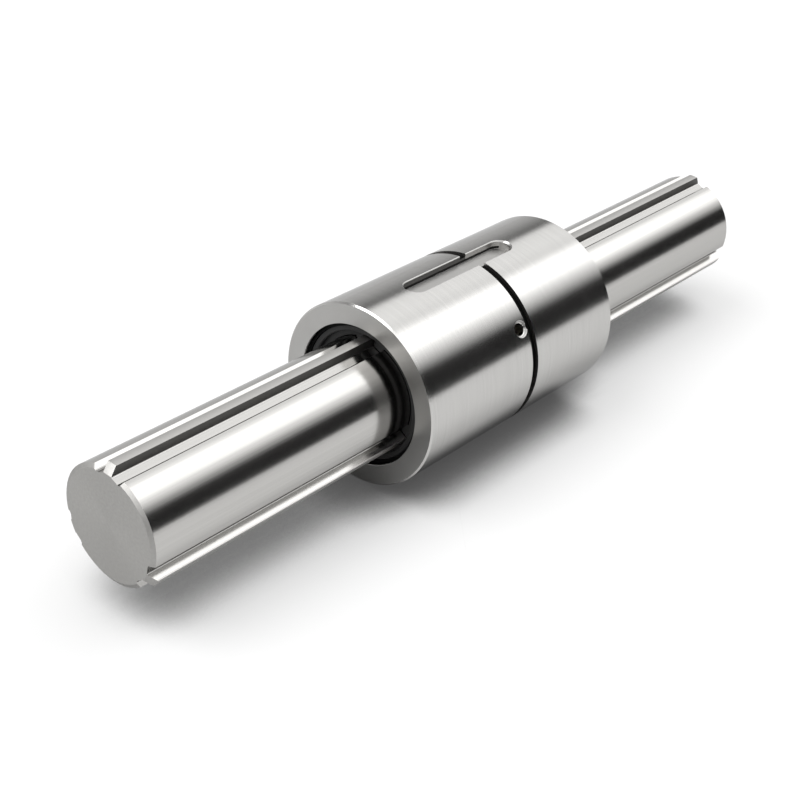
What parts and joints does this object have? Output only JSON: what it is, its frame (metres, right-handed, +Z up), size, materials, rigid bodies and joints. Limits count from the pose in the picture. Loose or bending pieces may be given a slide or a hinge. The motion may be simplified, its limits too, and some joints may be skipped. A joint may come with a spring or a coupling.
{
  "type": "ball spline shaft",
  "caption": "Straight splined shaft with raised crests and ball tracks, running in a keyed cylindrical ball nut with end seals.",
  "frame": {"origin": "middle of the nut, on the shaft axis; the shaft is centred there at rest", "axes": "+X along the shaft, +Z up through the keyway and one crest of the spline"},
  "size_m": [0.384, 0.08, 0.08],
  "materials": {
    "shaft_steel": "hardened, ground and polished",
    "nut_steel": "cylindrically ground",
    "ball_steel": "polished",
    "retainer_plastic": "moulded",
    "cap_plastic": "moulded",
    "ring_steel": "turned",
    "spring_steel": "blackened",
    "seal_case_steel": "black",
    "seal_rubber": "moulded, satin"
  },
  "bodies": {
    "nut": {"ball_circuit_1": "ball_steel", "ball_circuit_2": "ball_steel", "ball_circuit_3": "ball_steel", "ball_circuit_4": "ball_steel", "ball_circuit_5": "ball_steel", "ball_circuit_6": "ball_steel", "nut_body": "nut_steel", "retainer_segment_1": "retainer_plastic", "retainer_segment_2": "retainer_plastic", "retainer_segment_3": "retainer_plastic", "return_cap_front": "cap_plastic", "return_cap_rear": "cap_plastic", "seal_case_front": "seal_case_steel", "seal_case_rear": "seal_case_steel", "seal_lip_front": "seal_rubber", "seal_lip_rear": "seal_rubber", "side_ring_front": "ring_steel", "side_ring_rear": "ring_steel", "snap_ring_front": "spring_steel", "snap_ring_rear": "spring_steel"},
    "shaft": {"spline_shaft": "shaft_steel"}
  },
  "joints": [
    {"name": "shaft_slide", "type": "slide", "parent": "nut", "child": "shaft", "axis": [1, 0, 0], "range_m": [-0.12, 0.12]}
  ]
}
